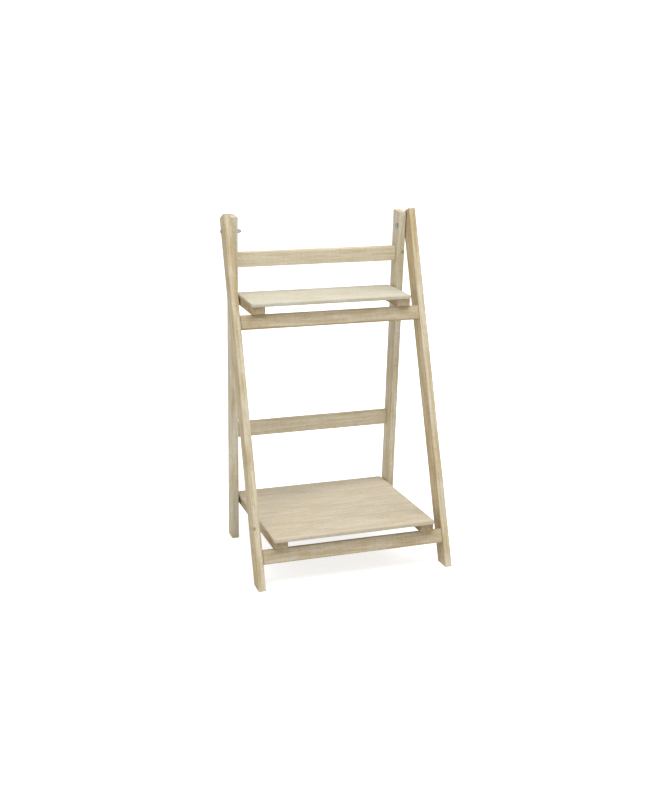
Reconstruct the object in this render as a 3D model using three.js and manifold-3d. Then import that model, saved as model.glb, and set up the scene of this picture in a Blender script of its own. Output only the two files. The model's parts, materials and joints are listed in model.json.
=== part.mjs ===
// A two-tier folding ladder stand for plants, in whitewashed wood.
//
// Two frames cross near their tops and turn on one bolt a side: a raked front frame and, inside
// it, a rear frame that leans the other way. Each shelf turns on two screws in the rear legs. Its
// cleats lie on a front rail, where a pin in a slot stops the frames from spreading any further.
//
// Millimetres, +X to the right, +Y to the back, +Z up. The origin is on the floor, at the middle
// of the footprint.
import * as THREE from 'three';
import { mergeVertices } from 'three/addons/utils/BufferGeometryUtils.js';
import Module from 'manifold-3d';

const wasm = await Module();
wasm.setup();

// ---------------------------------------------------------------- driving dimensions

// The two frames
const WIDTH = 430; // across the outer faces of the front legs
const HINGE_HEIGHT = 714; // hinge bolts above the floor
const TOP_ABOVE_HINGE = 31; // leg left above the hinge, along the leg
const FRONT_RAKE = THREE.MathUtils.degToRad(16.9); // front legs from the vertical
const REAR_LEAN = THREE.MathUtils.degToRad(6.8); // rear legs from the vertical
const LEG_THICKNESS = 16; // across the stand
const FRONT_LEG_DEPTH = 40;
const REAR_LEG_DEPTH = 40;
const HINGE_OFFSET = 11; // hinge from each leg's centre line, so that the folded frames nest
const LEG_GAP = 1.5; // between a front leg and the rear leg beside it
const ARRIS = 1; // chamfer on long edges

// Rails, each height measured along its leg
const FRONT_RAIL_THICKNESS = 16;
const FRONT_RAIL_HEIGHT = 30;
const BACK_RAIL_THICKNESS = 15;
const TOP_BACK_RAIL_HEIGHT = 32;
const TOP_BACK_RAIL_BELOW_HINGE = 47.5; // hinge to the rail's top edge, along the leg
const MIDDLE_BACK_RAIL_HEIGHT = 34;
const MIDDLE_BACK_RAIL_ABOVE_SHELF = 138; // lower shelf's top to the rail's bottom edge
const MORTISE_WALL = 6; // leg left outside a mortise
const TENON_THICKNESS = 7;
const TENON_SHOULDER = 5; // rail height left above and below a tenon

// Shelves
const UPPER_SHELF_BELOW_HINGE = 142; // hinge to the board's top, over the rail
const UPPER_SHELF_SLOPE = THREE.MathUtils.degToRad(2.6); // down to the front
const LOWER_SHELF_SLOPE = 0;
const LOWER_SHELF_TOP = 105; // board top above the floor
const BOARD_THICKNESS = 8;
const UPPER_BOARD_COUNT = 2;
const LOWER_BOARD_COUNT = 4;
const UPPER_SHELF_OVERHANG = 13; // board front edge ahead of the rail's top front edge
const LOWER_SHELF_OVERHANG = 15;
const SHELF_SIDE_CLEARANCE = 3.5; // board end to the rear leg beside it
const BOARD_CORNER_RADIUS = 5;
const CLEAT_WIDTH = 30;
const CLEAT_HEIGHT = 16;
const CLEAT_INSET = 1.5; // cleat in from the board end
const CLEAT_SETBACK = 6; // cleat end behind the board's front edge
const CLEAT_TAIL = 12; // cleat past the pivot

// Metal
const HINGE_BOLT_DIAMETER = 5;
const BOLT_HEAD_DIAMETER = 9.5;
const BOLT_HEAD_HEIGHT = 3;
const BOLT_HEAD_RIM = 1;
const NUT_ACROSS_FLATS = 8;
const NUT_HEIGHT = 4;
const THREAD_END = 3; // bolt past its nut
const THREAD_EASE = 0.6; // bolt's end, chamfered
const WASHER_DIAMETER = 11;
const WASHER_THICKNESS = 1;
const PIVOT_SCREW_DIAMETER = 5;
const PIVOT_HEAD_DIAMETER = 9;
const PIVOT_SCREW_COVER = 6; // cleat left past a pivot screw's point
const PIVOT_SPACER_DIAMETER = 12;
const BOARD_SCREW_DIAMETER = 3.5;
const BOARD_HEAD_DIAMETER = 7;
const BOARD_SCREW_COVER = 3; // board left over a screw's point
const BOARD_SCREW_INSET = 8; // screws from the cleat's centre line, towards the stand's middle
const PIN_DIAMETER = 4;
const PIN_EASE = 0.5; // pin's ends, chamfered
const PIN_SEAT = 12; // pin into the rail
const PIN_ENGAGEMENT = 5; // pin into the cleat's slot
const SLOT_TRAVEL = 19; // slot behind the pin, so the rail can leave as the frames close
const SLOT_ROOF = 1.5; // clear height over a pin

// Fits
const FIT = 0.3; // between pieces that touch
const PIN_PLAY = 0.5; // between a pin and the end of its slot

const ROUND_SIDES = 20; // facets round small turned pieces
const DOME_STEPS = 4; // facets over a bolt head's dome

// ---------------------------------------------------------------- derived places

const tenonLength = LEG_THICKNESS - MORTISE_WALL;
const pivotScrewBite = CLEAT_WIDTH - PIVOT_SCREW_COVER;
const boardScrewLength = CLEAT_HEIGHT + BOARD_THICKNESS - BOARD_SCREW_COVER;
const frontLegInner = WIDTH / 2 - LEG_THICKNESS;
const rearLegOuter = frontLegInner - LEG_GAP;
const rearLegInner = rearLegOuter - LEG_THICKNESS;

// In a frame's own axes the hinge is the origin, -Y is ahead and -Z is down the leg.
const frontFace = -(HINGE_OFFSET + FRONT_LEG_DEPTH / 2);
const frontLegBack = frontFace + FRONT_LEG_DEPTH;
const rearLegFront = HINGE_OFFSET - REAR_LEG_DEPTH / 2;
const rearLegBack = rearLegFront + REAR_LEG_DEPTH;
const rearLegCentre = (rearLegFront + rearLegBack) / 2;
const frontFrame = { tilt: -FRONT_RAKE, front: frontFace, back: frontLegBack };
const rearFrame = { tilt: REAR_LEAN, front: rearLegFront, back: rearLegBack };

// Height along a frame's leg, at depth y in the frame, of a level z over the floor.
function alongLeg(frame, y, z) {
  return (z - HINGE_HEIGHT - y * Math.sin(frame.tilt)) / Math.cos(frame.tilt);
}

// Depth behind the hinge, in the stand's axes, of a point in a frame.
function behindHinge(frame, y, z) {
  return y * Math.cos(frame.tilt) - z * Math.sin(frame.tilt);
}

const frontToe = behindHinge(frontFrame, frontFace, alongLeg(frontFrame, frontFace, 0));
const rearHeel = behindHinge(rearFrame, rearLegBack, alongLeg(rearFrame, rearLegBack, 0));
const hingeY = -(frontToe + rearHeel) / 2;

const shelfHalfWidth = rearLegInner - SHELF_SIDE_CLEARANCE;
const cleatOuter = shelfHalfWidth - CLEAT_INSET;
const cleatCentre = cleatOuter - CLEAT_WIDTH / 2;

// A shelf is laid out level, in its own axes, and then turned by its slope about the rail's top
// front edge. This is how far behind that edge a rear leg's line, at a depth in the leg, meets a
// height over the cleats' undersides.
function reachOverRail(edgeY, edgeZ, slope, legDepth, height) {
  const tilt = rearFrame.tilt;
  const level = edgeZ + height * Math.cos(slope) - HINGE_HEIGHT;
  const legY = hingeY + legDepth / Math.cos(tilt) - level * Math.tan(tilt);
  const run = Math.cos(slope) + Math.sin(slope) * Math.tan(tilt);
  return (legY - edgeY + height * Math.sin(slope)) / run;
}

// Everything that follows from the height and slope of a shelf. Its boards end level with the
// backs of the rear legs beside them.
function shelfPlaces(boardTop, overhang, slope) {
  const boardBottom = boardTop - BOARD_THICKNESS;
  const cleatTop = boardBottom - FIT;
  const cleatBottom = cleatTop - CLEAT_HEIGHT;
  const railTop = alongLeg(frontFrame, frontFace, cleatBottom - FIT);
  const edgeY = hingeY + behindHinge(frontFrame, frontFace, railTop);
  const half = CLEAT_HEIGHT / 2;
  const pivotReach = reachOverRail(edgeY, cleatBottom, slope, rearLegCentre, half);
  const pivotLevel = cleatBottom + pivotReach * Math.sin(slope) + half * Math.cos(slope);
  const thickness = boardTop - cleatBottom;
  const boardReach = reachOverRail(edgeY, cleatBottom, slope, rearLegBack, thickness);
  const boardFront = edgeY - overhang;
  return {
    slope,
    edgeY,
    boardTop,
    boardBottom,
    boardFront,
    boardBack: edgeY + boardReach,
    cleatTop,
    cleatBottom,
    cleatFront: boardFront + CLEAT_SETBACK,
    cleatBack: edgeY + pivotReach + CLEAT_TAIL,
    pivotY: edgeY + pivotReach,
    pivotZ: cleatBottom + half,
    pivotAlong: alongLeg(rearFrame, rearLegCentre, pivotLevel),
    railTop,
  };
}

const upperShelfTop = HINGE_HEIGHT - UPPER_SHELF_BELOW_HINGE;
const upper = shelfPlaces(upperShelfTop, UPPER_SHELF_OVERHANG, UPPER_SHELF_SLOPE);
const lower = shelfPlaces(LOWER_SHELF_TOP, LOWER_SHELF_OVERHANG, LOWER_SHELF_SLOPE);

// ---------------------------------------------------------------- materials

function wood(color) {
  return new THREE.MeshStandardMaterial({ color, roughness: 0.8, metalness: 0 });
}

const legWood = wood(0xd3c5a6);
const railWood = wood(0xc9baa0);
const boardWood = wood(0xdcd1b8);
const cleatWood = wood(0xc4b48f);
const zinc = new THREE.MeshStandardMaterial({ color: 0x8f9290, roughness: 0.4, metalness: 1 });

// ---------------------------------------------------------------- solids

// A closed geometry as a solid that can be joined and cut.
function solidOf(geometry) {
  const bare = geometry.clone();
  bare.deleteAttribute('normal');
  bare.deleteAttribute('uv');
  const merged = mergeVertices(bare, 1e-4);
  return new wasm.Manifold(
    new wasm.Mesh({
      numProp: 3,
      vertProperties: merged.attributes.position.array,
      triVerts: new Uint32Array(merged.index.array),
    }),
  );
}

function geometryOf(solid) {
  const mesh = solid.getMesh();
  const geometry = new THREE.BufferGeometry();
  geometry.setAttribute('position', new THREE.BufferAttribute(mesh.vertProperties, 3));
  geometry.setIndex(new THREE.BufferAttribute(mesh.triVerts, 1));
  const flat = geometry.toNonIndexed();
  flat.computeVertexNormals();
  return flat;
}

// A block between two corners.
function block(low, high) {
  const size = new THREE.Vector3().subVectors(high, low);
  const centre = new THREE.Vector3().addVectors(low, high).multiplyScalar(0.5);
  const geometry = new THREE.BoxGeometry(size.x, size.y, size.z);
  geometry.translate(centre.x, centre.y, centre.z);
  return solidOf(geometry);
}

// Turns a geometry so that its X, Y and Z point along Y, Z and X.
function facingX(geometry) {
  const basis = new THREE.Matrix4().makeBasis(
    new THREE.Vector3(0, 1, 0),
    new THREE.Vector3(0, 0, 1),
    new THREE.Vector3(1, 0, 0),
  );
  return geometry.applyMatrix4(basis);
}

// Turns a geometry so that its X, Y and Z point along X, Z and -Y.
function facingBack(geometry) {
  return geometry.applyMatrix4(new THREE.Matrix4().makeRotationX(Math.PI / 2));
}

// A rectangle from (x0, y0) to (x1, y1) with its four corners cut off.
function chamferedRectangle(x0, y0, x1, y1, cut) {
  return new THREE.Shape([
    new THREE.Vector2(x0 + cut, y0),
    new THREE.Vector2(x1 - cut, y0),
    new THREE.Vector2(x1, y0 + cut),
    new THREE.Vector2(x1, y1 - cut),
    new THREE.Vector2(x1 - cut, y1),
    new THREE.Vector2(x0 + cut, y1),
    new THREE.Vector2(x0, y1 - cut),
    new THREE.Vector2(x0, y0 + cut),
  ]);
}

// A prism whose arrises are chamfered at both ends of its extrusion, centred along Z.
function easedPrism(shape, thickness) {
  const geometry = new THREE.ExtrudeGeometry(shape, {
    depth: thickness - 2 * ARRIS,
    bevelEnabled: true,
    bevelThickness: ARRIS,
    bevelSize: ARRIS,
    bevelOffset: -ARRIS,
    bevelSegments: 1,
    curveSegments: 4,
  });
  return geometry.translate(0, 0, -(thickness - 2 * ARRIS) / 2);
}

// A profile of [radius, height] points turned round the X axis; heights run along +X from x.
function turnedAlongX(profile, x, y, z) {
  const points = profile.map(([r, h]) => new THREE.Vector2(r, h));
  const geometry = new THREE.LatheGeometry(points, ROUND_SIDES);
  geometry.rotateZ(-Math.PI / 2);
  return solidOf(geometry.translate(x, y, z));
}

// The same, turned round the Z axis with heights along +Z.
function turnedAlongZ(profile, x, y, z) {
  const points = profile.map(([r, h]) => new THREE.Vector2(r, h));
  const geometry = new THREE.LatheGeometry(points, ROUND_SIDES);
  geometry.rotateX(Math.PI / 2);
  return solidOf(geometry.translate(x, y, z));
}

function rod(radius, length) {
  return [
    [0, 0],
    [radius, 0],
    [radius, length],
    [0, length],
  ];
}

// A rod with its two ends eased.
function easedRod(radius, length, ease) {
  return [
    [0, 0],
    [radius - ease, 0],
    [radius, ease],
    [radius, length - ease],
    [radius - ease, length],
    [0, length],
  ];
}

function ring(innerRadius, outerRadius, length) {
  return [
    [innerRadius, 0],
    [outerRadius, 0],
    [outerRadius, length],
    [innerRadius, length],
    [innerRadius, 0],
  ];
}

// A countersunk screw from the face of its head at height 0 to its point.
function screwProfile(headRadius, shankRadius, length) {
  return [
    [0, 0],
    [headRadius, 0],
    [shankRadius, headRadius - shankRadius],
    [shankRadius, length - 2 * shankRadius],
    [0, length],
  ];
}

// The hole that such a screw turns in, open past the head's face.
function screwHoleProfile(headRadius, shankRadius, length) {
  const wide = headRadius + FIT;
  const narrow = shankRadius + FIT;
  return [
    [0, -headRadius],
    [wide, -headRadius],
    [wide, FIT / 2],
    [narrow, FIT / 2 + wide - narrow],
    [narrow, length],
    [0, length + narrow],
  ];
}

// ---------------------------------------------------------------- placing

const model = new THREE.Group();
const frontGroup = new THREE.Group();
const rearGroup = new THREE.Group();
frontGroup.position.set(0, hingeY, HINGE_HEIGHT);
frontGroup.rotation.x = frontFrame.tilt;
rearGroup.position.set(0, hingeY, HINGE_HEIGHT);
rearGroup.rotation.x = rearFrame.tilt;
model.add(frontGroup, rearGroup);

function place(group, name, solid, material) {
  const mesh = new THREE.Mesh(geometryOf(solid), material.clone());
  mesh.name = name;
  group.add(mesh);
}

// The group that turns a shelf's pieces by its slope, about the rail's top front edge.
function shelfGroup(shelf) {
  const group = new THREE.Group();
  const edge = new THREE.Vector3(0, shelf.edgeY, shelf.cleatBottom);
  group.rotation.x = shelf.slope;
  group.position.copy(edge).sub(edge.clone().applyEuler(group.rotation));
  model.add(group);
  return group;
}

// Runs a maker for the left and for the right; side is -1 and 1.
function onBothSides(make) {
  make('left', -1);
  make('right', 1);
}

// Mirrors a right-hand solid to the side it is needed on.
function toSide(solid, side) {
  return side > 0 ? solid : solid.mirror([1, 0, 0]);
}

// ---------------------------------------------------------------- legs

// The outline of a leg from the side: square on top, cut level at the foot.
function legOutline(frame) {
  return new THREE.Shape([
    new THREE.Vector2(frame.front, alongLeg(frame, frame.front, 0)),
    new THREE.Vector2(frame.back, alongLeg(frame, frame.back, 0)),
    new THREE.Vector2(frame.back, TOP_ABOVE_HINGE),
    new THREE.Vector2(frame.front, TOP_ABOVE_HINGE),
  ]);
}

// A right-hand leg blank whose inner face is at x = inner.
function legBlank(frame, inner) {
  const prism = facingX(easedPrism(legOutline(frame), LEG_THICKNESS));
  return solidOf(prism.translate(inner + LEG_THICKNESS / 2, 0, 0));
}

// A rail's place in its frame: y0 and y1 are its faces, z0 and z1 its edges.
function frontRailBox(shelf) {
  return {
    y0: frontFace,
    y1: frontFace + FRONT_RAIL_THICKNESS,
    z0: shelf.railTop - FRONT_RAIL_HEIGHT,
    z1: shelf.railTop,
    reach: frontLegInner,
  };
}

function backRailBox(y0, z0, height) {
  return {
    y0,
    y1: y0 + BACK_RAIL_THICKNESS,
    z0,
    z1: z0 + height,
    reach: rearLegInner,
  };
}

// The tenon of a rail, or with a clearance its mortise, from x = from to x = to.
function tenonBlock(box, from, to, clearance) {
  const middle = (box.y0 + box.y1) / 2;
  const halfThickness = TENON_THICKNESS / 2 + clearance;
  return block(
    new THREE.Vector3(from, middle - halfThickness, box.z0 + TENON_SHOULDER - clearance),
    new THREE.Vector3(to, middle + halfThickness, box.z1 - TENON_SHOULDER + clearance),
  );
}

function mortise(box) {
  return tenonBlock(box, box.reach - LEG_THICKNESS, box.reach + tenonLength + FIT, FIT);
}

const upperRailBox = frontRailBox(upper);
const lowerRailBox = frontRailBox(lower);
const topRailY = rearLegCentre - BACK_RAIL_THICKNESS / 2;
const middleRailY = rearLegBack - BACK_RAIL_THICKNESS;
const topRailZ = -TOP_BACK_RAIL_BELOW_HINGE - TOP_BACK_RAIL_HEIGHT;
const middleRailLevel = LOWER_SHELF_TOP + MIDDLE_BACK_RAIL_ABOVE_SHELF;
const middleRailZ = alongLeg(rearFrame, middleRailY, middleRailLevel);
const topRailBox = backRailBox(topRailY, topRailZ, TOP_BACK_RAIL_HEIGHT);
const middleRailBox = backRailBox(middleRailY, middleRailZ, MIDDLE_BACK_RAIL_HEIGHT);

// The bolt's hole through a leg whose inner face is at x = inner.
function boltHole(inner) {
  const radius = HINGE_BOLT_DIAMETER / 2 + FIT;
  return turnedAlongX(rod(radius, 2 * LEG_THICKNESS), inner - LEG_THICKNESS / 2, 0, 0);
}

// A shelf's pivot hole through a right-hand rear leg, countersunk on the outer face.
function pivotHole(shelf) {
  const profile = screwHoleProfile(
    PIVOT_HEAD_DIAMETER / 2,
    PIVOT_SCREW_DIAMETER / 2,
    2 * LEG_THICKNESS,
  );
  const turned = turnedAlongX(profile, 0, 0, 0).mirror([1, 0, 0]);
  return turned.translate([rearLegOuter - FIT, rearLegCentre, shelf.pivotAlong]);
}

function makeLegs(word, side) {
  const front = legBlank(frontFrame, frontLegInner)
    .subtract(boltHole(frontLegInner))
    .subtract(mortise(upperRailBox))
    .subtract(mortise(lowerRailBox));
  place(frontGroup, `front_leg_${word}`, toSide(front, side), legWood);
  const rear = legBlank(rearFrame, rearLegInner)
    .subtract(boltHole(rearLegInner))
    .subtract(mortise(topRailBox))
    .subtract(mortise(middleRailBox))
    .subtract(pivotHole(upper))
    .subtract(pivotHole(lower));
  place(rearGroup, `rear_leg_${word}`, toSide(rear, side), legWood);
}

onBothSides(makeLegs);

// ---------------------------------------------------------------- rails and their pins

// A rail between two legs, with a tenon at each end.
function rail(box) {
  const shape = chamferedRectangle(box.y0, box.z0, box.y1, box.z1, ARRIS);
  const length = 2 * (box.reach - FIT);
  const bar = new THREE.ExtrudeGeometry(shape, { depth: length, bevelEnabled: false });
  facingX(bar);
  bar.translate(-length / 2, 0, 0);
  const end = box.reach + tenonLength;
  return solidOf(bar).add(tenonBlock(box, -end, end, 0));
}

const pinY = frontFace + FRONT_RAIL_THICKNESS / 2;

// How far a pin stands above its rail: past the gap under the cleat and into the slot.
const pinStand = (FIT + PIN_ENGAGEMENT) / Math.cos(FRONT_RAKE)
  + (FRONT_RAIL_THICKNESS / 2) * Math.tan(FRONT_RAKE);

function pinHole(shelf, x) {
  const profile = rod(PIN_DIAMETER / 2 + FIT, PIN_SEAT + FIT + BOARD_THICKNESS);
  return turnedAlongZ(profile, x, pinY, shelf.railTop - PIN_SEAT - FIT);
}

function makeFrontRail(name, box, shelf) {
  const drilled = rail(box)
    .subtract(pinHole(shelf, -cleatCentre))
    .subtract(pinHole(shelf, cleatCentre));
  place(frontGroup, name, drilled, railWood);
}

makeFrontRail('front_rail_upper', upperRailBox, upper);
makeFrontRail('front_rail_lower', lowerRailBox, lower);
place(rearGroup, 'back_rail_top', rail(topRailBox), railWood);
place(rearGroup, 'back_rail_middle', rail(middleRailBox), railWood);

function makePin(name, shelf, x) {
  const profile = easedRod(PIN_DIAMETER / 2, PIN_SEAT + pinStand, PIN_EASE);
  const pin = turnedAlongZ(profile, x, pinY, shelf.railTop - PIN_SEAT);
  place(frontGroup, name, pin, zinc);
}

onBothSides((word, side) => {
  makePin(`locating_pin_upper_${word}`, upper, side * cleatCentre);
  makePin(`locating_pin_lower_${word}`, lower, side * cleatCentre);
});

// ---------------------------------------------------------------- hinge bolts

function hexNut() {
  const corner = NUT_ACROSS_FLATS / Math.sqrt(3);
  const shape = new THREE.Shape();
  for (let i = 0; i < 6; i += 1) {
    const angle = (i + 0.5) * (Math.PI / 3);
    const point = [corner * Math.cos(angle), corner * Math.sin(angle)];
    if (i === 0) shape.moveTo(...point);
    else shape.lineTo(...point);
  }
  shape.closePath();
  const bore = new THREE.Path();
  bore.absarc(0, 0, HINGE_BOLT_DIAMETER / 2 + FIT, 0, 2 * Math.PI, true);
  shape.holes.push(bore);
  const geometry = new THREE.ExtrudeGeometry(shape, {
    depth: NUT_HEIGHT,
    bevelEnabled: false,
    curveSegments: ROUND_SIDES / 2,
  });
  return solidOf(facingX(geometry));
}

// The bolt from its head's seat at x = seat inwards to its end at x = tip. The head's dome is a
// quarter of an ellipse on a short rim.
function hingeBolt(seat, tip) {
  const shank = HINGE_BOLT_DIAMETER / 2;
  const head = BOLT_HEAD_DIAMETER / 2;
  const rim = seat - tip + BOLT_HEAD_RIM;
  const dome = BOLT_HEAD_HEIGHT - BOLT_HEAD_RIM;
  const profile = [
    [0, 0],
    [shank - THREAD_EASE, 0],
    [shank, THREAD_EASE],
    [shank, seat - tip],
    [head, seat - tip],
  ];
  for (let i = 0; i <= DOME_STEPS; i += 1) {
    const angle = (i / DOME_STEPS) * (Math.PI / 2);
    const radius = i === DOME_STEPS ? 0 : head * Math.cos(angle);
    profile.push([radius, rim + dome * Math.sin(angle)]);
  }
  return turnedAlongX(profile, tip, 0, 0);
}

function makeHinge(word, side) {
  const boltRadius = HINGE_BOLT_DIAMETER / 2;
  const washerOuter = rearLegInner - FIT;
  const nutOuter = washerOuter - WASHER_THICKNESS - FIT;
  const tip = nutOuter - NUT_HEIGHT - THREAD_END;
  const washer = ring(boltRadius + FIT, WASHER_DIAMETER / 2, WASHER_THICKNESS);
  const spacer = ring(boltRadius + FIT, WASHER_DIAMETER / 2, LEG_GAP - 2 * FIT);
  const pieces = {
    bolt: hingeBolt(WIDTH / 2 + FIT, tip),
    spacer: turnedAlongX(spacer, rearLegOuter + FIT, 0, 0),
    washer: turnedAlongX(washer, washerOuter - WASHER_THICKNESS, 0, 0),
    nut: hexNut().translate([nutOuter - NUT_HEIGHT, 0, 0]),
  };
  for (const [kind, solid] of Object.entries(pieces)) {
    place(rearGroup, `hinge_${kind}_${word}`, toSide(solid, side), zinc);
  }
}

onBothSides(makeHinge);

// ---------------------------------------------------------------- shelves

// The glued panel of a shelf, with rounded corners and eased edges.
function shelfPanel(shelf) {
  const x = shelfHalfWidth;
  const r = BOARD_CORNER_RADIUS;
  const front = shelf.boardFront;
  const back = shelf.boardBack;
  const outline = new THREE.Shape();
  outline.moveTo(-x + r, front);
  outline.lineTo(x - r, front);
  outline.absarc(x - r, front + r, r, -Math.PI / 2, 0, false);
  outline.lineTo(x, back - r);
  outline.absarc(x - r, back - r, r, 0, Math.PI / 2, false);
  outline.lineTo(-x + r, back);
  outline.absarc(-x + r, back - r, r, Math.PI / 2, Math.PI, false);
  outline.lineTo(-x, front + r);
  outline.absarc(-x + r, front + r, r, Math.PI, 1.5 * Math.PI, false);
  const panel = easedPrism(outline, BOARD_THICKNESS);
  return solidOf(panel.translate(0, 0, shelf.boardTop - BOARD_THICKNESS / 2));
}

// The front and back of board number i out of count.
function boardSpan(shelf, i, count) {
  const pitch = (shelf.boardBack - shelf.boardFront) / count;
  const front = shelf.boardFront + i * pitch;
  return { front, back: front + pitch, middle: front + pitch / 2 };
}

const boardScrewX = cleatCentre - BOARD_SCREW_INSET;

function boardScrewHole(shelf, x, y) {
  const profile = screwHoleProfile(
    BOARD_HEAD_DIAMETER / 2,
    BOARD_SCREW_DIAMETER / 2,
    boardScrewLength - BOARD_SCREW_DIAMETER / 2,
  );
  return turnedAlongZ(profile, x, y, shelf.cleatBottom + FIT);
}

function makeBoards(group, word, shelf, count) {
  const panel = shelfPanel(shelf);
  for (let i = 0; i < count; i += 1) {
    const span = boardSpan(shelf, i, count);
    const margin = BOARD_THICKNESS;
    const slice = block(
      new THREE.Vector3(
        -WIDTH / 2,
        i === 0 ? span.front - margin : span.front + FIT / 2,
        shelf.boardBottom - margin,
      ),
      new THREE.Vector3(
        WIDTH / 2,
        i === count - 1 ? span.back + margin : span.back - FIT / 2,
        shelf.boardTop + margin,
      ),
    );
    const board = panel
      .intersect(slice)
      .subtract(boardScrewHole(shelf, -boardScrewX, span.middle))
      .subtract(boardScrewHole(shelf, boardScrewX, span.middle));
    place(group, `${word}_board_${i + 1}`, board, boardWood);
  }
}

// Depth, in a shelf's own axes, of the point on a pin's centre line at a height along the leg.
function pinDepth(shelf, along) {
  const y = hingeY + behindHinge(frontFrame, pinY, along) - shelf.edgeY;
  const level = pinY * Math.sin(frontFrame.tilt) + along * Math.cos(frontFrame.tilt);
  const z = HINGE_HEIGHT + level - shelf.cleatBottom;
  return shelf.edgeY + y * Math.cos(shelf.slope) + z * Math.sin(shelf.slope);
}

// The slot in a cleat's underside that its pin stands in. Its front end stops the pin.
function pinSlot(shelf) {
  const tipAlong = shelf.railTop + pinStand;
  const tipY = pinDepth(shelf, tipAlong);
  const footY = pinDepth(shelf, tipAlong - PIN_ENGAGEMENT / Math.cos(FRONT_RAKE));
  const half = PIN_DIAMETER / 2 + PIN_PLAY;
  const top = shelf.cleatBottom + PIN_ENGAGEMENT + SLOT_ROOF;
  return block(
    new THREE.Vector3(cleatCentre - half, footY - half, shelf.cleatBottom - CLEAT_HEIGHT),
    new THREE.Vector3(cleatCentre + half, tipY + SLOT_TRAVEL, top),
  );
}

// A right-hand cleat, slotted for its pin, with its screw holes.
function cleat(shelf, count) {
  const shape = chamferedRectangle(
    cleatOuter - CLEAT_WIDTH,
    shelf.cleatBottom,
    cleatOuter,
    shelf.cleatTop,
    ARRIS,
  );
  const length = shelf.cleatBack - shelf.cleatFront;
  const bar = new THREE.ExtrudeGeometry(shape, { depth: length, bevelEnabled: false });
  facingBack(bar);
  bar.translate(0, shelf.cleatBack, 0);
  const pilot = rod(PIVOT_SCREW_DIAMETER / 2 + FIT, CLEAT_WIDTH);
  let solid = solidOf(bar)
    .subtract(pinSlot(shelf))
    .subtract(
      turnedAlongX(pilot, cleatOuter - pivotScrewBite - FIT, shelf.pivotY, shelf.pivotZ),
    );
  for (let i = 0; i < count; i += 1) {
    const { middle } = boardSpan(shelf, i, count);
    solid = solid.subtract(boardScrewHole(shelf, boardScrewX, middle));
  }
  return solid;
}

// The screw through a right-hand rear leg into the cleat, and the ring round it between the two.
function pivotPieces(shelf) {
  const length = rearLegOuter - FIT - cleatOuter + pivotScrewBite;
  const screw = turnedAlongX(
    screwProfile(PIVOT_HEAD_DIAMETER / 2, PIVOT_SCREW_DIAMETER / 2, length),
    0,
    0,
    0,
  ).mirror([1, 0, 0]);
  const spacer = ring(
    PIVOT_SCREW_DIAMETER / 2 + FIT,
    PIVOT_SPACER_DIAMETER / 2,
    rearLegInner - cleatOuter - 2 * FIT,
  );
  return {
    screw: screw.translate([rearLegOuter - FIT, shelf.pivotY, shelf.pivotZ]),
    spacer: turnedAlongX(spacer, cleatOuter + FIT, shelf.pivotY, shelf.pivotZ),
  };
}

function makeShelf(word, shelf, count) {
  const group = shelfGroup(shelf);
  makeBoards(group, word, shelf, count);
  onBothSides((sideWord, side) => {
    place(group, `${word}_cleat_${sideWord}`, toSide(cleat(shelf, count), side), cleatWood);
    for (const [kind, solid] of Object.entries(pivotPieces(shelf))) {
      place(group, `${word}_pivot_${kind}_${sideWord}`, toSide(solid, side), zinc);
    }
    for (let i = 0; i < count; i += 1) {
      const screw = turnedAlongZ(
        screwProfile(BOARD_HEAD_DIAMETER / 2, BOARD_SCREW_DIAMETER / 2, boardScrewLength),
        side * boardScrewX,
        boardSpan(shelf, i, count).middle,
        shelf.cleatBottom + FIT,
      );
      place(group, `${word}_board_screw_${sideWord}_${i + 1}`, screw, zinc);
    }
  });
}

makeShelf('upper', upper, UPPER_BOARD_COUNT);
makeShelf('lower', lower, LOWER_BOARD_COUNT);

export default model;
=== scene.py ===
# %% [markdown]
# # A whitewashed ladder stand for plants
# The stand is two frames of pale timber, bolted together near their tops, with two shelves of
# glued boards between them. This lesson takes the measured solids of that stand and dresses them:
# every stick of wood gets its planed faces, eased edges and drilled holes, and every screw, bolt
# and nut gets its turned shape. Two finishes do the rest, a thin white wash over wood and a coat
# of zinc over steel.
#
# The measured solids come in first. They fix where everything is, and they are never moved.

# %% Bring in the measured stand
import json
import math

import bpy
import numpy as np
from mathutils import Euler, Matrix, Vector


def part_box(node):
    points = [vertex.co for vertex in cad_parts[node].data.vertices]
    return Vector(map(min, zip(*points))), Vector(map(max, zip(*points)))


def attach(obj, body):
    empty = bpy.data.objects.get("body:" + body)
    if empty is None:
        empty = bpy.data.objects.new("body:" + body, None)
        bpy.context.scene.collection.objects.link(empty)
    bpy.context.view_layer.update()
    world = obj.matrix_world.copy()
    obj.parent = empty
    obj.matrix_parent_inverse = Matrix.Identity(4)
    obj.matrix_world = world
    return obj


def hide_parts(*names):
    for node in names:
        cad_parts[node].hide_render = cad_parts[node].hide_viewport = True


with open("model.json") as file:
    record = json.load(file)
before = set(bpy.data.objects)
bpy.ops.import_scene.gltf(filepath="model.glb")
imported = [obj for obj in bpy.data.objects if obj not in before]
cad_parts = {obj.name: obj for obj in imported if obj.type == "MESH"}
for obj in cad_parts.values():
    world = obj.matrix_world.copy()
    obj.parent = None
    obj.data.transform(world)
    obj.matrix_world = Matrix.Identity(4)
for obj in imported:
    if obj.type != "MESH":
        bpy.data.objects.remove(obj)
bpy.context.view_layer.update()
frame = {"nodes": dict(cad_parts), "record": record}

MM = 0.001


record = frame["record"]
body_of = {node: body for body, nodes in record["behaviour"]["bodies"].items() for node in nodes}

# %% [markdown]
# ## The camera
# The stand was photographed from a step to the left of its middle, from a little above its top,
# with a long lens. A camera could be aimed with a constraint, but three angles and a focal
# length in pixels say the same thing exactly, and nothing is left to follow anything else. The
# angles turn into three directions at right angles, which are the columns of its matrix.

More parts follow.
